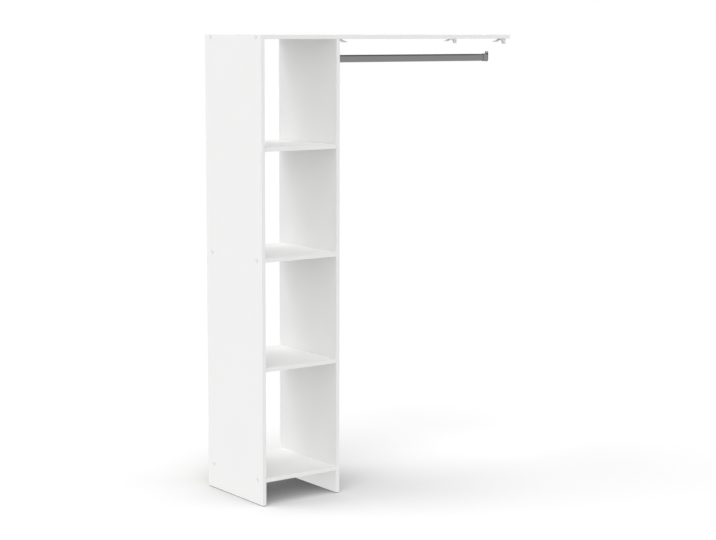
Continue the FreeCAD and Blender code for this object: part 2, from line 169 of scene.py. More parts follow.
# In the looks, a pattern is given in cells per metre. Its Gloss is what it adds to the roughness, its Share
# what it adds to the mix of two colours, and its Rise what it adds to the relief.
boardLook = {
    "white": (0.915, 0.915, 0.910),
    "shade": (0.900, 0.901, 0.896),
    "roughness": 0.32,
    "cloud": 9,             # slow drift of the tone
    "cloudShare": 0.8,
    "grain": 1400,          # pearl grain of the coating
    "grainDetail": 3.0,
    "grainGloss": 0.10,
    "grainRise": 0.12,
    "skin": 0.35 * mm,      # coating at each face, seen on a bare edge
    "bareRim": 0.15 * mm,   # how far the bare edge reaches round its corner
    "bareGloss": 0.4,
    "flakePale": (0.62, 0.47, 0.31),
    "flakeDark": (0.36, 0.25, 0.15),
    "flake": 620.0,         # chips of the core
    "flakeRise": 2.0,
    "dust": 2500,
    "dustShare": 0.5,
    "depth": 0.05 * mm,
}


def whiteBoard():
    # White coating with a fine pearl grain; the back edges and the panels' feet show the chip core.
    look = boardLook
    finish, shader, wire = newFinish("whiteBoard")
    topLow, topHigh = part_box("top_board")
    core = (topHigh.z - topLow.z) / 2 - look["skin"]
    backEdge = cadBox[1].y - look["bareRim"]
    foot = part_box("left_side_panel")[0].z + look["bareRim"]
    across = wire.node("ShaderNodeAttribute", {"attribute_name": "across"}, output="Fac")
    bare = (coordinate(wire, "Y") > backEdge).either(coordinate(wire, "Z") < foot) * (abs(across) < core)
    grain = speckle(wire, look["grain"], look["grainDetail"])
    cloud = speckle(wire, look["cloud"])
    coating = mixed(wire, cloud * look["cloudShare"] + 0.5, look["white"], look["shade"])
    chip = {"Vector": place(wire), "Scale": look["flake"]}
    cells = wire.node("ShaderNodeTexVoronoi", inputs=chip, output="Color")
    flake = wire.node("ShaderNodeSeparateColor", inputs={0: cells})
    dust = speckle(wire, look["dust"]) * look["dustShare"]
    chips = mixed(wire, flake + dust, look["flakePale"], look["flakeDark"])
    wire.feed(shader["Base Color"], mixed(wire, bare, coating, chips))
    wire.feed(shader["Roughness"], look["roughness"] + grain * look["grainGloss"] + bare * look["bareGloss"])
    rise = grain * look["grainRise"] + bare * flake * look["flakeRise"]
    wire.feed(shader["Normal"], relief(wire, rise, look["depth"]))
    return finish


bandLook = {
    "white": (0.915, 0.915, 0.910),
    "shade": (0.905, 0.905, 0.900),
    "roughness": 0.30,
    "cloud": 14,
    "lines": 700,
    "drawn": 0.02,         # fineness of the lines along the band, as a share of that across it
    "linesGloss": 0.12,
    "depth": 0.01 * mm,
}


def edgeBand(along):
    # Plastic edging: smoother than the coating, with faint lines along its length, which is one of the axes.
    look = bandLook
    finish, shader, wire = newFinish("edgeBand" + "XYZ"[along])
    lines = speckle(wire, look["lines"], stretch=drawnOut(along, look["drawn"]))
    cloud = speckle(wire, look["cloud"])
    wire.feed(shader["Base Color"], mixed(wire, cloud + 0.5, look["white"], look["shade"]))
    wire.feed(shader["Roughness"], look["roughness"] + lines * look["linesGloss"])
    wire.feed(shader["Normal"], relief(wire, lines, look["depth"]))
    return finish


plasticLooks = {
    "capPlastic": {"pale": (0.815, 0.815, 0.81), "shade": (0.785, 0.785, 0.78),
                   "roughness": 0.38, "grain": 2600, "depth": 0.01 * mm},
    "bracketPlastic": {"pale": (0.94, 0.94, 0.93), "shade": (0.92, 0.92, 0.91),
                       "roughness": 0.42, "grain": 1800, "depth": 0.02 * mm, "lightDepth": 4 * mm},
    "pinPlastic": {"pale": (0.84, 0.84, 0.83), "shade": (0.81, 0.81, 0.80),
                   "roughness": 0.42, "grain": 2200, "depth": 0.02 * mm},
    "glidePlastic": {"pale": (0.27, 0.27, 0.27), "shade": (0.22, 0.22, 0.22),
                     "roughness": 0.55, "grain": 1500, "depth": 0.03 * mm},
}
mouldMarks = {"flow": 90, "flowGloss": 0.10, "grainDetail": 3.0, "grainGloss": 0.06}


def mouldedPlastic(name):
    # Moulded plastic: slow drift of tone, a fine spark-eroded grain, and flow marks in the gloss. With a
    # light depth, light goes about that far in and comes out beside, so that thin walls stay pale.
    look = plasticLooks[name]
    marks = mouldMarks
    finish, shader, wire = newFinish(name)
    grain = speckle(wire, look["grain"], marks["grainDetail"])
    flow = speckle(wire, marks["flow"])
    wire.feed(shader["Base Color"], mixed(wire, flow + 0.5, look["pale"], look["shade"]))
    gloss = flow * marks["flowGloss"] + grain * marks["grainGloss"]
    wire.feed(shader["Roughness"], look["roughness"] + gloss)
    wire.feed(shader["Normal"], relief(wire, grain, look["depth"]))
    if "lightDepth" in look:
        shader["Subsurface Weight"].default_value = 1.0
        shader["Subsurface Radius"].default_value = (1.0, 1.0, 1.0)
        shader["Subsurface Scale"].default_value = look["lightDepth"]
    return finish


metalLooks = {
    "railSteel": {"pale": (0.25, 0.25, 0.255), "shade": (0.22, 0.22, 0.225), "roughness": 0.14,
                  "stretch": (0.01, 1, 1), "streaks": 900, "depth": 0.003 * mm,
                  "rubbed": (0.05, 0.05, 0.052),   # painted shade along the top of the tube
                  "rubDepth": 7.5 * mm},           # from the top of the tube to the full tone of its sides
    "socketZinc": {"pale": (0.26, 0.26, 0.265), "shade": (0.21, 0.21, 0.215), "roughness": 0.40,
                   "stretch": (1, 1, 1), "streaks": 1100, "depth": 0.03 * mm},
    "screwZinc": {"pale": (0.31, 0.31, 0.32), "shade": (0.26, 0.26, 0.27), "roughness": 0.34,
                  "stretch": (1, 1, 1), "streaks": 1600, "depth": 0.01 * mm},
}
metalMarks = {"streakDetail": 3.0, "streakShare": 0.8, "streakGloss": 0.16,
              "cloud": 40, "cloudShare": 0.5, "cloudGloss": 0.06}


def satinMetal(name):
    # Metal with drawing lines or casting grain: the stretch decides which. The rail is painted darker along
    # its top: painted shade that stands for the dim board above as seen in the tube.
    look = metalLooks[name]
    marks = metalMarks
    finish, shader, wire = newFinish(name)
    streaks = speckle(wire, look["streaks"], marks["streakDetail"], look["stretch"])
    cloud = speckle(wire, marks["cloud"])
    tone = streaks * marks["streakShare"] + cloud * marks["cloudShare"] + 0.5
    colour = mixed(wire, tone, look["pale"], look["shade"])
    # Painted shade: towards the top of the tube the colour goes to a dark tone, for the shadowed board above.
    if "rubbed" in look:
        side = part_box("hanging_rail")[1].z - look["rubDepth"]
        topShadeShare = (coordinate(wire, "Z") - side) * (1 / look["rubDepth"])
        colour = mixed(wire, topShadeShare, colour, look["rubbed"])
    wire.feed(shader["Base Color"], colour)
    gloss = streaks * marks["streakGloss"] + cloud * marks["cloudGloss"]
    wire.feed(shader["Roughness"], look["roughness"] + gloss)
    wire.feed(shader["Normal"], relief(wire, streaks, look["depth"]))
    shader["Metallic"].default_value = 1.0
    return finish


dowelLook = {
    "pale": (0.70, 0.54, 0.37),
    "dark": (0.52, 0.37, 0.23),
    "roughness": 0.62,
    "drawn": 0.06,        # fineness along the dowel, as a share of that across it
    "fibre": 900,
    "fibreDetail": 4.0,
    "fibreGloss": 0.15,
    "fleck": 420,
    "fleckDetail": 1.0,
    "fleckFrom": 0.12,    # noise above this is a fleck
    "fleckShare": 0.4,
    "tone": 0.4,          # mix of the two colours where nothing else adds to it
    "depth": 0.08 * mm,
}


def beech(name, along):
    # Raw beech: fibres along the dowel, which lies on one of the axes, with short darker flecks.
    look = dowelLook
    finish, shader, wire = newFinish(name)
    stretch = drawnOut(along, look["drawn"])
    fibre = speckle(wire, look["fibre"], look["fibreDetail"], stretch)
    fleck = speckle(wire, look["fleck"], look["fleckDetail"], stretch) > look["fleckFrom"]
    tone = fibre + fleck * look["fleckShare"] + look["tone"]
    wire.feed(shader["Base Color"], mixed(wire, tone, look["pale"], look["dark"]))
    wire.feed(shader["Roughness"], look["roughness"] + fibre * look["fibreGloss"])
    wire.feed(shader["Normal"], relief(wire, fibre, look["depth"]))
    return finish


finishes = {
    "white_board": whiteBoard(),
    "cap_plastic": mouldedPlastic("capPlastic"),
    "bracket_plastic": mouldedPlastic("bracketPlastic"),
    "pin_plastic": mouldedPlastic("pinPlastic"),
    "glide_plastic": mouldedPlastic("glidePlastic"),
    "rail_steel": satinMetal("railSteel"),
    "socket_zinc": satinMetal("socketZinc"),
    "screw_zinc": satinMetal("screwZinc"),
    "dowel_wood": beech("beechAcross", 0),
}
bandFinishes = [edgeBand(along) for along in range(3)]
uprightBeech = beech("beechUpright", 2)
print("finishes:", len(finishes), "by slot, and", len(bandFinishes), "for the bands")


def skin(rings, loop=False):
    # A closed skin over a grid: each row is one outline of the piece. With loop the last row joins the first,
    # as on a tube with a wall; without it the first and last outlines are filled in flat. The faces are
    # turned if the volume that they enclose, summed over fans of triangles, comes out negative.
    rows, columns = rings.shape[:2]
    points = rings.reshape(-1, 3)
    row = np.arange(rows if loop else rows - 1)[:, None] * columns
    above = (row + columns) % (rows * columns)
    column = np.arange(columns)[None, :]
    beside = (column + 1) % columns
    quads = np.stack([row + column, row + beside, above + beside, above + column], axis=-1).reshape(-1, 4)
    blocks = [quads] if loop else [quads, column[:, ::-1], column + (rows - 1) * columns]
    corners = [points[block] - points[0] for block in blocks]
    volume = sum(np.sum(face[:, :1] * np.cross(face[:, 1:-1], face[:, 2:])) for face in corners)
    way = 1 if volume > 0 else -1
    return points, [block[:, ::way] for block in blocks]


def moved(part, matrix=np.eye(3), spot=(0, 0, 0)):
    # The part turned by a matrix, then set on a spot.
    points, blocks = part
    return points @ np.asarray(matrix, float).T + np.asarray(spot, float), blocks


def joined(parts):
    # Several parts as one: the numbers of the points go on from part to part.
    starts = np.cumsum([0] + [len(points) for points, blocks in parts])
    blocks = [block + start for (points, own), start in zip(parts, starts) for block in own]
    return np.concatenate([points for points, own in parts]), blocks


def camel(node):
    # The node's name as one word.
    first, *rest = node.split("_")
    return first + "".join(word.title() for word in rest)


sharpFrom = math.radians(40)   # edges that turn by more than this stay sharp


def dress(node, parts, finish=None):
    # Makes the visible piece that stands for a CAD node, on the node's body and with its finish.
    points, blocks = joined(parts)
    mesh = bpy.data.meshes.new(camel(node))
    mesh.from_pydata(points, [], [face for block in blocks for face in block.tolist()])
    mesh.polygons.foreach_set("use_smooth", np.ones(len(mesh.polygons), bool))
    mesh.set_sharp_from_angle(angle=sharpFrom)
    mesh.materials.append(finish or finishes[slotOf[node]])
    piece = bpy.data.objects.new(camel(node), mesh)
    bpy.context.scene.collection.objects.link(piece)
    piece.modifiers.new("evenShade", "WEIGHTED_NORMAL").keep_sharp = True
    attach(piece, frame["nodes"][node]["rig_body"])
    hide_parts(node)
    return piece


def sizes(shape, names):
    # The named values of a shape, in the order of the names.
    return [shape[name] for name in names.split()]


def softBox(width, height, radius, steps):
    # Rounded rectangles about the origin, one in each row: a quarter circle at each corner.
    quarter = np.repeat(np.arange(4), steps) * np.pi / 2
    angle = quarter + np.tile(np.linspace(0, np.pi / 2, steps), 4)
    centreX = (width / 2 - radius) * np.sign(np.cos(quarter + np.pi / 4))
    centreY = (height / 2 - radius) * np.sign(np.sin(quarter + np.pi / 4))
    return centreX + radius * np.cos(angle), centreY + radius * np.sin(angle)


barShape = {"steps": 4, "firstTurn": 0.2}   # points of a rounding, and the angle at which it starts


def bar(lo, hi, axis, radius):
    # A box with softened edges: its rounded outline is carried along one axis, and near each end it is drawn
    # in by radius * (1 - sin a) at radius * (1 - cos a) from that end.
    size, centre = hi - lo, (lo + hi) / 2
    wide, tall = (axis + 1) % 3, (axis + 2) % 3
    steps, firstTurn = sizes(barShape, "steps firstTurn")
    turn = np.linspace(firstTurn, np.pi / 2, steps)[:, None]
    inward = radius * (1 - np.sin(turn))
    depth = radius * (1 - np.cos(turn))
    inward = np.concatenate([inward, inward[::-1]])
    along = np.concatenate([depth, size[axis] - depth[::-1]])
    rings = np.empty((2 * steps, 4 * steps, 3))
    across, up = softBox(size[wide] - 2 * inward, size[tall] - 2 * inward, radius - inward, steps)
    rings[..., axis] = lo[axis] + along
    rings[..., wide] = centre[wide] + across
    rings[..., tall] = centre[tall] + up
    return skin(rings)


boardShape = {"edge": 0.3 * mm}
boardNodes = ["left_side_panel", "right_side_panel", "top_board",
              "upper_shelf", "middle_shelf", "lower_shelf", "bottom_shelf"]
for node in boardNodes:
    lo, hi = (np.array(corner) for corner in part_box(node))
    thin = int(np.argmin(hi - lo))
    board = bar(lo, hi, 2 - thin, boardShape["edge"])   # a panel runs along Z, a shelf along X
    piece = dress(node, [board])
    across = piece.data.attributes.new("across", "FLOAT", "POINT")   # from the middle of the thickness
    across.data.foreach_set("value", board[0][:, thin] - (lo[thin] + hi[thin]) / 2)

bandShape = {"corner": 0.7 * mm, "steps": 5}


def edging(lo, hi, outward):
    # A strip whose two outer corners are quarter circles, carried along its length.
    size = hi - lo
    thin, wide, along = np.argsort(size)
    radius, steps = sizes(bandShape, "corner steps")
    turn = np.linspace(0, np.pi / 2, steps)
    half = size[wide] / 2 - radius
    out = size[thin] - radius
    arcOut = out + radius * np.concatenate([np.sin(turn), np.cos(turn)])
    arcSide = np.concatenate([-half - radius * np.cos(turn), half + radius * np.sin(turn)])
    profileOut = np.concatenate([[0], arcOut, [0]])
    profileSide = np.concatenate([[-size[wide] / 2], arcSide, [size[wide] / 2]])
    root = lo[thin] if outward > 0 else hi[thin]
    rings = np.empty((2, len(profileOut), 3))
    rings[:, :, thin] = root + outward * profileOut
    rings[:, :, wide] = (lo[wide] + hi[wide]) / 2 + profileSide
    rings[:, :, along] = np.array([lo[along], hi[along]])[:, None]
    return skin(rings)


bandNodes = [node for node in slotOf if slotOf[node] == "edge_band"]
for node in bandNodes:
    lo, hi = (np.array(corner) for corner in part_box(node))
    outward = 1 if node == "top_end_edge_band" else -1
    dress(node, [edging(lo, hi, outward)], bandFinishes[np.argmax(hi - lo)])
print("boards:", len(boardNodes), "bands:", len(bandNodes))

site = {
    "left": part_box("left_side_panel")[0].x,
    "leftInside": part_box("left_side_panel")[1].x,
    "rightInside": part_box("right_side_panel")[0].x,
    "column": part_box("right_side_panel")[1].x,
    "end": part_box("top_end_edge_band")[1].x,
    "underTop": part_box("top_board")[0].z,
}
headings = {   # where the X axis of a part points
    "right": np.eye(3),
    "left": np.diag([-1.0, -1.0, 1.0]),
    "up": np.array([[0.0, 0, -1], [0, 1, 0], [1, 0, 0]]),
    "down": np.array([[0.0, 0, 1], [0, 1, 0], [-1, 0, 0]]),
    "sideways": np.array([[0.0, 1, 0], [-1, 0, 0], [0, 0, 1]]),
}


def middle(node):
    # The middle of a CAD node's box.
    lo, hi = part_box(node)
    return (lo + hi) / 2


def spread(part, spots):
    # Copies of one part, each turned to its heading and set on its spot.
    return [moved(part, headings[heading], spot) for spot, heading in spots]


# From here on the shapes are in millimetres, and the last step of each makes them metres.
pole = 0.02   # radius of the small flat that closes a turned piece on its axis


def fullTurn(steps):
    # The angles of so many points round a circle.
    return np.linspace(0, 2 * np.pi, steps, endpoint=False)


def turned(along, radius, steps):
    # About X: row i lies at along[i] and goes round at radius[i]; both may vary round the turn.
    turn = fullTurn(steps)
    along = np.asarray(along, float).reshape(len(along), -1) * np.ones(steps)
    radius = np.asarray(radius, float).reshape(len(radius), -1)
    return skin(np.stack([along, radius * np.cos(turn), radius * np.sin(turn)], axis=-1) * mm)


threadShape = {"steps": 20, "perPitch": 6, "tip": 0.12}   # points round, rows, share left at the tip


def thread(start, end, core, crest, pitch, taper):
    # A screw thread about X: the radius rises from core to crest and falls again over each pitch, with the
    # phase x / pitch - turn / 2pi, and over the last taper millimetres all of it shrinks towards the tip.
    steps, perPitch, tip = sizes(threadShape, "steps perPitch tip")
    along = np.linspace(start, end, round((end - start) / pitch * perPitch) + 1)[:, None]
    turn = np.linspace(0, 1, steps, endpoint=False)
    phase = (along / pitch - turn) % 1
    radius = core + (crest - core) * (1 - abs(2 * phase - 1))
    return turned(along, radius * np.clip((end - along) / taper, tip, 1), steps)


def inset(outline, by):
    # Each point of a counter-clockwise outline, moved to its left, square to the mean of the sides it joins.
    ahead = np.roll(outline, -1, 0) - outline
    ahead /= np.linalg.norm(ahead, axis=1, keepdims=True)
    along = ahead + np.roll(ahead, 1, 0)
    along /= np.linalg.norm(along, axis=1, keepdims=True)
    return outline + by * np.stack([-along[:, 1], along[:, 0]], axis=1)


def stacked(rows):
    # The grid of outlines (y, z), each at its place along X.
    return np.stack([np.insert(outline, 0, along, axis=1) for along, outline in rows]) * mm


def slab(outline, near, far, soft):
    # A flat plate across X whose outline is drawn in by soft at both faces.
    drawn = inset(outline, soft)
    return skin(stacked([(near, drawn), (near + soft, outline), (far - soft, outline), (far, drawn)]))


def pierced(outer, inner, near, far, soft):
    # A flat wall across X between two outlines of equally many points; its four rims are cut off by soft.
    across = inner - outer
    across *= soft / np.linalg.norm(across, axis=1, keepdims=True)
    rows = [(near + soft, outer), (far - soft, outer), (far, outer + across), (far, inner - across),
            (far - soft, inner), (near + soft, inner), (near, inner - across), (near, outer + across)]
    return skin(stacked(rows), loop=True)


def holed(outline, hole, radius, near, far, soft):
    # A plate with a round hole, which has one point in line with each point of the outline.
    centre = np.array(hole)
    ray = outline - centre
    circle = centre + radius * ray / np.linalg.norm(ray, axis=1, keepdims=True)
    return pierced(outline, circle, near, far, soft)


def dense(corners, gap):
    # The outline through the corners with points added along its sides, about one per gap.
    corners = np.array(corners, float)
    ends = np.roll(corners, -1, 0)
    counts = np.maximum(1, np.linalg.norm(ends - corners, axis=1) // gap).astype(int)
    return np.concatenate([start + (end - start) * np.arange(count)[:, None] / count
                           for start, end, count in zip(corners, ends, counts)])


def arc(centre, radius, first, last, steps):
    # Points on a circle from the first angle to the last, in degrees.
    turn = np.radians(np.linspace(first, last, steps))
    return np.stack([centre[0] + radius * np.cos(turn), centre[1] + radius * np.sin(turn)], axis=1)


def bow(start, end, radius, side, steps):
    # The arc of a radius from start to end, with its centre to the left (side 1) or the right (side -1).
    start, end = np.array(start), np.array(end)
    chord = end - start
    half = np.linalg.norm(chord) / 2
    left = np.array([-chord[1], chord[0]]) / (2 * half)
    centre = (start + end) / 2 + left * side * math.sqrt(radius**2 - half**2)
    first, last = (np.degrees(np.arctan2(*(point - centre)[::-1])) for point in (start, end))
    last = first + (last - first + 180) % 360 - 180
    return arc(centre, radius, first, last, steps)


capShape = {"radius": 7.5, "height": 2.0, "edge": 0.8, "backEdge": 0.15, "plug": 1.89, "plugDepth": 2.5,
            "plugEdge": 0.3, "rimSteps": 8, "steps": 56}


def screwCap():
    # A low disc whose rim is a quarter circle, with a plug behind it that sits in the screw's socket.
    whole, height, edge, backEdge = sizes(capShape, "radius height edge backEdge")
    plug, plugDepth, plugEdge = sizes(capShape, "plug plugDepth plugEdge")
    turn = np.linspace(0, np.pi / 2, capShape["rimSteps"])
    rim = whole - edge + edge * np.sin(turn)
    fall = edge * (1 - np.cos(turn)) - height
    along = [-height, *fall, -backEdge, 0, 0, plugDepth - plugEdge, plugDepth]
    radius = [pole, *rim, whole, whole - backEdge, plug, plug, plug - plugEdge]
    return turned(along, radius, capShape["steps"])


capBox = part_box("left_screw_caps")
capRadius = capShape["radius"] * mm
rows = [capBox[0].y + capRadius, capBox[1].y - capRadius]   # the front and the back fixings
levels = {name: middle(node).z for name, node in
          (("top", "top_board"), ("middle", "middle_shelf"), ("bottom", "bottom_shelf"))}
outside = {"left": (site["left"], "right"), "right": (site["column"], "left")}


def heads(side, names):
    # Where the joint screws of the named boards and their caps sit, on the outside of one panel.
    face, heading = outside[side]
    return [((face, row, levels[name]), heading) for name in names for row in rows]


dress("left_screw_caps", spread(screwCap(), heads("left", ("top", "middle", "bottom"))))
dress("right_screw_caps", spread(screwCap(), heads("right", ("middle", "bottom"))))

screwShape = {"length": 50.0, "head": 5.0, "headGap": 0.2, "headRim": 0.25, "rimGap": 0.1,
              "shank": 3.5, "shankEnd": 15.0, "shankEdge": 0.4, "core": 1.9, "crest": 2.5, "pitch": 3.2,
              "taper": 6.0, "overlap": 1.0, "steps": 48,
              "socket": 2.0, "socketDepth": 3.0, "socketEdge": 0.15}


def jointScrew():
    # A cone head with a hexagon socket, whose radius is its half width over cos(turn from the middle of a
    # side), on a plain shank with a thread behind it.
    head, headGap, headRim, rimGap = sizes(screwShape, "head headGap headRim rimGap")
    shank, shankEnd, shankEdge, crest = sizes(screwShape, "shank shankEnd shankEdge crest")
    depth, edge, steps = sizes(screwShape, "socketDepth socketEdge steps")
    hexagon = screwShape["socket"] / np.cos((fullTurn(steps) + np.pi / 6) % (np.pi / 3) - np.pi / 6)
    circle = np.ones(steps)
    along = [depth, depth, edge, 0, 0, headRim, head - shank + headGap, shankEnd - shankEdge, shankEnd]
    inside = [pole * circle, hexagon, hexagon, hexagon + edge]
    outer = [radius * circle for radius in (head - headGap, head - rimGap, shank, shank, crest)]
    tail = thread(shankEnd - screwShape["overlap"], *sizes(screwShape, "length core crest pitch taper"))
    return joined([turned(along, np.array(inside + outer), steps), tail])


dress("top_joint_screws", spread(jointScrew(), heads("left", ["top"])))
for name in ("middle", "bottom"):
    dress(f"{name}_shelf_screws", spread(jointScrew(), heads("left", [name]) + heads("right", [name])))

dowelShape = {"radius": 4.0, "length": 30.0, "inFace": 10.0, "flutes": 14, "fluteDepth": 0.3, "chamfer": 1.2,
              "chamferFall": 0.84, "steps": 112}


def dowel():
    # A fluted rod: the radius dips by fluteDepth times the cube of a raised cosine, and both ends are
    # chamfered.
    length, chamfer, steps = sizes(dowelShape, "length chamfer steps")
    flute = (0.5 + 0.5 * np.cos(dowelShape["flutes"] * fullTurn(steps))) ** 3
    rod = dowelShape["radius"] - dowelShape["fluteDepth"] * flute
    end = rod - dowelShape["chamferFall"]
    return turned([0, chamfer, length - chamfer, length], np.array([end, rod, rod, end]), steps)


inFace = dowelShape["inFace"] * mm
middleRow = sum(rows) / 2
leftStart = (site["leftInside"] - inFace, "right")
rightStart = (site["rightInside"] + inFace, "left")
for name, starts in (("top_joint", [leftStart]), ("middle_shelf", [leftStart, rightStart]),
                     ("bottom_shelf", [leftStart, rightStart])):
    level = levels[name.split("_")[0]]
    dress(f"{name}_dowels", spread(dowel(), [((x, middleRow, level), heading) for x, heading in starts]))
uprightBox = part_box("right_panel_dowels")
uprightX = middle("right_panel_dowels").x
uprightRows = [uprightBox[0].y + dowelShape["radius"] * mm, uprightBox[1].y - dowelShape["radius"] * mm]
uprights = [((uprightX, row, uprightBox[1].z), "down") for row in uprightRows]
dress("right_panel_dowels", spread(dowel(), uprights), uprightBeech)

pinShape = {"peg": 2.5, "pegDepth": 9.0, "pegEdge": 0.6, "overlap": 0.3, "pegSteps": 32,
            "seat": 5.0, "seatLength": 9.0, "seatSteps": 25, "soft": 0.5}


def shelfPin():
    # A peg with a chamfered end, and a half round seat whose flat top lies under the shelf.
    peg, depth, edge = sizes(pinShape, "peg pegDepth pegEdge")
    seat, seatLength, soft = sizes(pinShape, "seat seatLength soft")
    rod = turned([-depth, edge - depth, pinShape["overlap"]], [peg - edge, peg, peg], pinShape["pegSteps"])
    return joined([rod, slab(arc((0, 0), seat, 180, 360, pinShape["seatSteps"]), 0, seatLength, soft)])


insides = ((site["leftInside"], "right"), (site["rightInside"], "left"))
for name in ("upper", "lower"):
    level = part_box(f"{name}_shelf")[0].z
    spots = [((x, row, level), heading) for x, heading in insides for row in rows]
    dress(f"{name}_shelf_pins", spread(shelfPin(), spots))

glideShape = {"radius": 7.5, "height": 3.0, "edge": 1.0, "edgeSteps": 6, "steps": 40}


def floorGlide():
    # A disc whose lower edge is a quarter circle.
    whole, height, edge = sizes(glideShape, "radius height edge")
    turn = np.linspace(0, np.pi / 2, glideShape["edgeSteps"])
    along = [*edge * (1 - np.cos(turn)), height]
    radius = [*(whole - edge + edge * np.sin(turn)), whole]
    return turned(along, radius, glideShape["steps"])


for side, panel in (("left", "left_side_panel"), ("right", "right_side_panel")):
    dress(f"{side}_floor_glides", spread(floorGlide(), [((middle(panel).x, row, 0), "up") for row in rows]))
print("fittings of the column: caps, screws, dowels, pins, glides")

railShape = {"height": 30.0, "width": 15.0, "wall": 1.0, "soft": 0.15, "steps": 33}
railLift = (railShape["height"] - railShape["width"]) / 2   # from the middle to a half circle's centre


def oval(radius):
    # Two half circles, one above the other, joined by upright sides.
    upper = arc((0, railLift), radius, 0, 180, railShape["steps"])
    lower = arc((0, -railLift), radius, 180, 360, railShape["steps"])
    return np.concatenate([upper, lower])


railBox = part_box("hanging_rail")
railSpot = middle("hanging_rail")
railLength = (railBox[1].x - railBox[0].x) / mm
railRadius = railShape["width"] / 2
tube = pierced(oval(railRadius), oval(railRadius - railShape["wall"]), 0, railLength, railShape["soft"])
dress("hanging_rail", [moved(tube, spot=(railBox[0].x, railSpot.y, railSpot.z))])

socketShape = {"plate": 2.5, "halfWidth": 10.0, "split": 12.5, "top": 25.6, "corner": 5.0, "cornerSteps": 9,
               "hole": 2.1, "earHole": 20.5, "gap": 1.0, "soft": 0.35,
               "overlap": 0.8, "tuck": 0.5, "sunk": 0.02,   # the two plates overlap, so that no seam shows
               "collarIn": 7.65, "collarOut": 8.85, "collarLength": 22.0, "collarRoot": 0.4}


def railSocket():
    # A plate in two pieces, each round one screw hole, and a collar that holds the tube.
    plate, half, split, top, corner = sizes(socketShape, "plate halfWidth split top corner")
    hole, gap, soft, sunk, steps = sizes(socketShape, "hole gap soft sunk cornerSteps")
    tongue, tip = split + socketShape["overlap"], half - socketShape["tuck"]
    foot = arc((0, -railLift), half, 180, 360, railShape["steps"])
    lower = dense([*foot, (half, split), (tip, tongue), (-tip, tongue), (-half, split)], gap)
    rightCorner = arc((half - corner, top - corner), corner, 0, 90, steps)
    leftCorner = arc((corner - half, top - corner), corner, 90, 180, steps)
    upper = dense([(-half, split), (half, split), *rightCorner, *leftCorner], gap)
    back = holed(lower, (0, 0), hole, 0, plate, soft)
    ear = holed(upper, (0, socketShape["earHole"]), hole, sunk, plate - sunk, soft)
    inner, outer, length, root = sizes(socketShape, "collarIn collarOut collarLength collarRoot")
    collar = pierced(oval(outer), oval(inner), plate - root, plate + length, soft)
    return joined([back, ear, collar])


dress("panel_rail_socket", spread(railSocket(), [((site["column"], railSpot.y, railSpot.z), "right")]))
dress("end_rail_socket", spread(railSocket(), [((site["end"], railSpot.y, railSpot.z), "left")]))

smallShape = {"length": 14.0, "core": 1.2, "crest": 1.75, "pitch": 1.4, "taper": 3.5, "overlap": 0.5,
              "head": 3.2, "rise": 2.0, "steps": 64,
              "crossArm": 1.75, "crossHalf": 0.42, "crossDepth": 1.0, "armSlope": 0.5, "flankSlope": 0.15}
smallRings = np.concatenate([np.linspace(0.02, 0.94, 22), [0.97, 0.995]])   # shares of the head's radius


def smallScrew():
    # A domed head, rise * sqrt(1 - (r / head)^2) high, with a cross sunk into it, and a sharp thread.
    head, rise, steps, crest = sizes(smallShape, "head rise steps crest")
    crossArm, crossHalf, armSlope, flankSlope = sizes(smallShape, "crossArm crossHalf armSlope flankSlope")
    ring = smallRings[:, None] * head
    turn = fullTurn(steps)
    u, v = abs(ring * np.cos(turn)), abs(ring * np.sin(turn))

    def arm(first, second):
        # 1 on the floor of one bar of the cross, 0 outside it, with sloping flanks and ends.
        flank = np.clip((crossHalf - first) / flankSlope, 0, 1)
        return flank * np.clip((crossArm - second) / armSlope, 0, 1)

    dome = -rise * np.sqrt(1 - (ring / head) ** 2) * np.ones(steps)
    sunk = smallShape["crossDepth"] * np.maximum(arm(u, v), arm(v, u))
    along = np.concatenate([dome + sunk, np.zeros((2, steps))])
    radius = np.concatenate([ring[:, 0], [head, crest]])
    shank = thread(-smallShape["overlap"], *sizes(smallShape, "length core crest pitch taper"))
    return joined([turned(along, radius, steps), shank])


plateFace = site["column"] + socketShape["plate"] * mm
holeLevels = [railSpot.z + rise * mm for rise in (0, socketShape["earHole"])]
plateHeads = [((plateFace, railSpot.y, level), "left") for level in holeLevels]
dress("panel_socket_screws", spread(smallScrew(), plateHeads))
print("rail with its sockets")

bracketShape = {"width": 20.0, "wall": 2.5, "topLeg": 24.0, "sideLeg": 22.0, "overlap": 0.5,
                "topHole": 14.0, "sideHole": 13.0, "hole": 2.1, "gap": 2.0, "soft": 0.25,
                "gusset": 1.8, "gussetRadius": 20.0, "gussetEnd": 21.0, "gussetSunk": 0.1, "gussetSoft": 0.2,
                "hinge": 26.4, "ear": 2.4, "bore": 0.95, "notch": 1.6,
                "bowSteps": 24, "notchSteps": 12, "eyeSteps": 32}


def bothSides(part, width, thick):
    # The part at both sides of a piece: its X axis becomes the width, from the outer face inwards.
    return [moved(part, headings["sideways"], (0, y * mm, 0)) for y in (width / 2, thick - width / 2)]


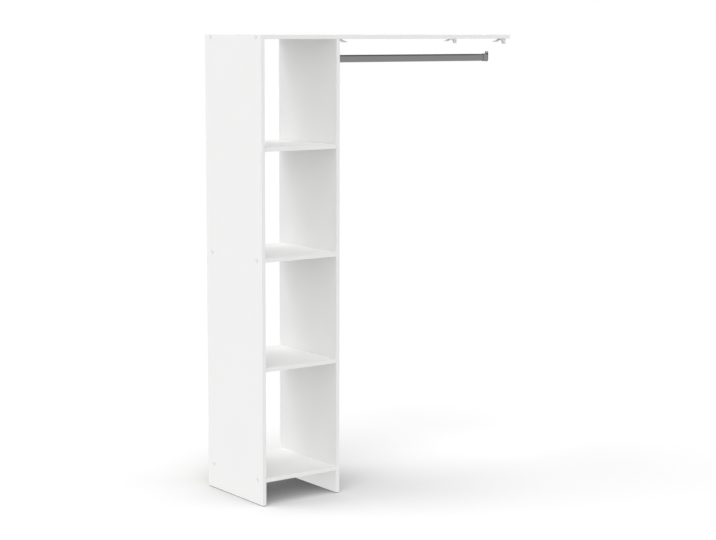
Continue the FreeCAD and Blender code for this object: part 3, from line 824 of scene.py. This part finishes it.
def cornerBracket():
    # Two legs with a screw hole each, between two gussets with a concave edge; a ring at the outer end of
    # each gusset holds the cover. The origin is the corner between the panel and the top board.
    width, wall, topLeg, sideLeg = sizes(bracketShape, "width wall topLeg sideLeg")
    hole, gap, soft, bore = sizes(bracketShape, "hole gap soft bore")
    gusset, sunk, gussetSoft = sizes(bracketShape, "gusset gussetSunk gussetSoft")
    hinge, ear, notch = sizes(bracketShape, "hinge ear notch")
    bowSteps, notchSteps, eyeSteps = sizes(bracketShape, "bowSteps notchSteps eyeSteps")
    half = width / 2 - gusset + bracketShape["overlap"]
    leg = dense([(-half, -sideLeg), (half, -sideLeg), (half, -wall), (-half, -wall)], gap)
    side = holed(leg, (0, -bracketShape["sideHole"]), hole, 0, wall, soft)
    leg = dense([(-half, -topLeg), (half, -topLeg), (half, 0), (-half, 0)], gap)
    top = holed(leg, (0, -bracketShape["topHole"]), hole, -wall, 0, soft)
    lowEnd, highEnd = (wall, -sideLeg), (bracketShape["gussetEnd"], -2 * ear)
    concave = bow(lowEnd, highEnd, bracketShape["gussetRadius"], -1, bowSteps)
    recess = arc((hinge, -ear), notch, 270, 90, notchSteps)
    web = np.concatenate([[(0, -sideLeg)], concave, [(hinge, -2 * ear)], recess, [(hinge, 0), (0, 0)]])
    flank = slab(web, sunk, gusset - sunk, gussetSoft)
    ring = arc((hinge, -ear), ear, 0, 360, eyeSteps + 1)[:-1]
    eye = holed(ring, (hinge, -ear), bore, 0, gusset, gussetSoft)
    flanks = [*bothSides(flank, width, gusset), *bothSides(eye, width, gusset)]
    return joined([side, moved(top, headings["up"]), *flanks])


coverShape = {"width": 20.0, "wall": 1.5, "length": 32.5, "lip": 2.0, "droop": 18.0, "soft": 0.35,
              "neck": 5.8, "neckWidth": 15.4, "overlap": 0.8, "neckSunk": 0.03, "neckSoft": 0.2,
              "cheek": 1.8, "cheekSunk": 0.05, "cheekSoft": 0.15, "bowSteps": 24,
              "barrel": 1.6, "barrelSteps": 32, "pin": 0.9, "pinLength": 19.4, "pinSteps": 24, "rodEdge": 0.2}


def rod(length, radius, steps):
    # A cylinder across the cover, with chamfered ends.
    edge = coverShape["rodEdge"]
    end = length / 2
    along = [-end, edge - end, end - edge, end]
    shape = turned(along, [radius - edge, radius, radius, radius - edge], steps)
    return moved(shape, headings["sideways"])


def bracketCover():
    # A plate on a barrel with two pins, and at each side a cheek, a segment of the gussets' circle. It hangs
    # open by the droop angle, and its origin is the hinge.
    width, wall, length, soft = sizes(coverShape, "width wall length soft")
    neck, neckWidth, overlap = sizes(coverShape, "neck neckWidth overlap")
    neckSunk, neckSoft = sizes(coverShape, "neckSunk neckSoft")
    cheek, cheekSunk, cheekSoft = sizes(coverShape, "cheek cheekSunk cheekSoft")
    half = wall / 2
    low = np.array([neck, -width / 2, -half]) * mm
    high = np.array([length, width / 2, half]) * mm
    plate = bar(low, high, 2, soft * mm)
    low = np.array([0, -neckWidth / 2, -half + neckSunk]) * mm
    high = np.array([neck + overlap, neckWidth / 2, half - neckSunk]) * mm
    tongue = bar(low, high, 0, neckSoft * mm)
    chord = (neck, -half), (length - coverShape["lip"], -half)
    arch = bow(*chord, bracketShape["gussetRadius"], 1, coverShape["bowSteps"])
    cheeks = bothSides(slab(arch, cheekSunk, cheek, cheekSoft), width, cheek)
    barrel = rod(neckWidth, *sizes(coverShape, "barrel barrelSteps"))
    pins = rod(*sizes(coverShape, "pinLength pin pinSteps"))
    droop = Matrix.Rotation(math.radians(coverShape["droop"]), 3, "Y")
    return moved(joined([plate, tongue, *cheeks, barrel, pins]), droop)


hinge = bracketShape["hinge"] * mm
hingeLevel = site["underTop"] - bracketShape["ear"] * mm
for name, corner, heading in (("panel", site["column"], "right"), ("end", site["end"], "left")):
    pivot = corner + hinge if name == "panel" else corner - hinge
    for where, row in zip(("front", "back"), rows):
        bracketSpot = ((corner, row, site["underTop"]), heading)
        coverSpot = ((pivot, row, hingeLevel), heading)
        dress(f"{name}_bracket_{where}", spread(cornerBracket(), [bracketSpot]))
        dress(f"{name}_cover_{where}", spread(bracketCover(), [coverSpot]))

wall = bracketShape["wall"] * mm
topHole = bracketShape["topHole"] * mm
sideLevel = site["underTop"] - bracketShape["sideHole"] * mm
panelHeads = [((site["column"] + wall, row, sideLevel), "left") for row in rows]
panelTops = [((site["column"] + topHole, row, site["underTop"] - wall), "up") for row in rows]
endTops = [((site["end"] - topHole, row, site["underTop"] - wall), "up") for row in rows]
dress("panel_bracket_screws", spread(smallScrew(), panelHeads + panelTops))
dress("end_bracket_screws", spread(smallScrew(), endTops))
print("brackets with their covers")

stageLook = {
    "floorWhite": (0.99, 0.99, 0.99),
    "floorDark": (0.06, 0.06, 0.06),   # painted shadow, deep under the piece
    "reach": 1.0,                      # how far a point of the floor looks for cover
    "lean": (-0.12, -0.16, 1.0),       # which way it looks, towards the front left
    "rays": 16,                        # how many such looks
    "floorHalf": 40.0,                 # from the middle of the floor to its edge
    "floorShine": 0.48,                # the floor's own share of white, under the camera, dimmed by the painted shadow
    "floorGlow": 0.74,                 # what the piece above sees of it
    "ambient": 0.22,                   # strength of the world's light
}


def rayIs(wire, kind):
    return wire.node("ShaderNodeLightPath", output=f"Is {kind} Ray")


def anyRay(wire, kinds):
    shown = rayIs(wire, kinds[0])
    for kind in kinds[1:]:
        shown = shown.either(rayIs(wire, kind))
    return shown


def makeFloor():
    # Matt white to the camera, so that it keeps the lamps' shadow, plus a painted shadow in its colour
    # and glow near the piece; an even white sheet to the piece above it.
    half = stageLook["floorHalf"]
    corners = [(-half, -half, 0), (half, -half, 0), (half, half, 0), (-half, half, 0)]
    mesh = bpy.data.meshes.new("floor")
    mesh.from_pydata(corners, [], [(0, 1, 2, 3)])
    finish, shader, wire = newFinish("floorPaint")
    upward = Vector(stageLook["lean"]).normalized()
    lean = wire.node("ShaderNodeCombineXYZ", inputs=dict(zip("XYZ", upward)))
    # Painted shadow: where the floor is covered towards the front left, its colour and its own glow go dark.
    sky = wire.node("ShaderNodeAmbientOcclusion", {"samples": stageLook["rays"]},
                    {"Distance": stageLook["reach"], "Normal": lean}, "AO")
    shade = mixed(wire, sky, stageLook["floorDark"], stageLook["floorWhite"])
    wire.feed(shader["Base Color"], shade)
    wire.feed(shader["Emission Color"], shade)
    shader["Emission Strength"].default_value = stageLook["floorShine"]
    shader["Roughness"].default_value = 1.0
    shader["Specular IOR Level"].default_value = 0.0
    paint = Wire(wire.tree, finish.node_tree.nodes["Principled BSDF"].outputs[0])
    glow = wire.node("ShaderNodeEmission", inputs={"Strength": stageLook["floorGlow"]})
    white = wire.node("ShaderNodeEmission", inputs={"Strength": 1.0})
    mirrored = anyRay(wire, ("Glossy", "Transmission"))
    below = wire.node("ShaderNodeMixShader", inputs={0: mirrored, 1: glow, 2: white})
    cover = wire.node("ShaderNodeMixShader", inputs={0: rayIs(wire, "Camera"), 1: below, 2: paint})
    wire.feed(finish.node_tree.nodes["Material Output"].inputs["Surface"], cover)
    mesh.materials.append(finish)
    floor = bpy.data.objects.new("floor", mesh)
    bpy.context.scene.collection.objects.link(floor)
    return floor


def makeWorld():
    # White where the camera, a reflection or a view through looks at it, and a softer light for the rest.
    world = bpy.data.worlds.new("studio")
    world.use_nodes = True
    wire = Wire(world.node_tree)
    background = world.node_tree.nodes["Background"]
    background.inputs["Color"].default_value = (1, 1, 1, 1)
    shown = anyRay(wire, ("Camera", "Glossy", "Transmission"))
    wire.feed(background.inputs["Strength"], shown * (1 - stageLook["ambient"]) + stageLook["ambient"])
    bpy.context.scene.world = world


lamps = {   # suns: where each shines from, its spread in degrees, and whether it lights the floor
    "highLeft": {"from": (-0.6, 0.4, 1.2), "strength": 0.67, "spread": 30, "floor": True},
    "frontTop": {"from": (-0.35, -0.35, 1.0), "strength": 0.54, "spread": 25, "floor": True},
    "backLeft": {"from": (-0.6, 0.75, 0.7), "strength": 1.27, "spread": 60, "floor": False},
    "front": {"from": (-0.1, -1.0, 0.38), "strength": 1.0, "spread": 60, "floor": False},
    "leftFront": {"from": (-0.9, -0.6, 0.5), "strength": 0.36, "spread": 40, "floor": False},
}


def makeLamp(name, lamp, offFloor):
    light = bpy.data.lights.new(name, "SUN")
    light.energy = lamp["strength"]
    light.angle = math.radians(lamp["spread"])
    source = bpy.data.objects.new(name, light)
    source.rotation_euler = (-Vector(lamp["from"])).to_track_quat("-Z", "Y").to_euler()
    bpy.context.scene.collection.objects.link(source)
    if not lamp["floor"]:
        source.light_linking.receiver_collection = offFloor


def lightsOff(thing):
    # Lamps that are given this collection as receivers light everything but the thing in it.
    spared = bpy.data.collections.new("offFloor")
    spared.objects.link(thing)
    spared.collection_objects[0].light_linking.link_state = "EXCLUDE"
    return spared


view = {"eye": (-4.3039, -5.7827, 1.8490), "yaw": 36.56, "pitch": -7.826, "roll": 0.174, "lens": 88.78,
        "sensor": 36}


def makeCamera():
    lens = bpy.data.cameras.new("view")
    lens.lens = view["lens"]
    lens.sensor_width = view["sensor"]
    camera = bpy.data.objects.new("view", lens)
    turn = Matrix.Rotation(math.radians(-view["yaw"]), 4, "Z")
    tip = Matrix.Rotation(math.radians(90 + view["pitch"]), 4, "X")
    roll = Matrix.Rotation(math.radians(view["roll"]), 4, "Z")
    camera.matrix_world = Matrix.Translation(view["eye"]) @ turn @ tip @ roll
    bpy.context.scene.collection.objects.link(camera)
    bpy.context.scene.camera = camera


offFloor = lightsOff(makeFloor())
makeWorld()
for name, lamp in lamps.items():
    makeLamp(name, lamp, offFloor)
makeCamera()
bpy.context.scene.view_settings.view_transform = "Standard"
print("stage: floor, world,", len(lamps), "lamps and camera")
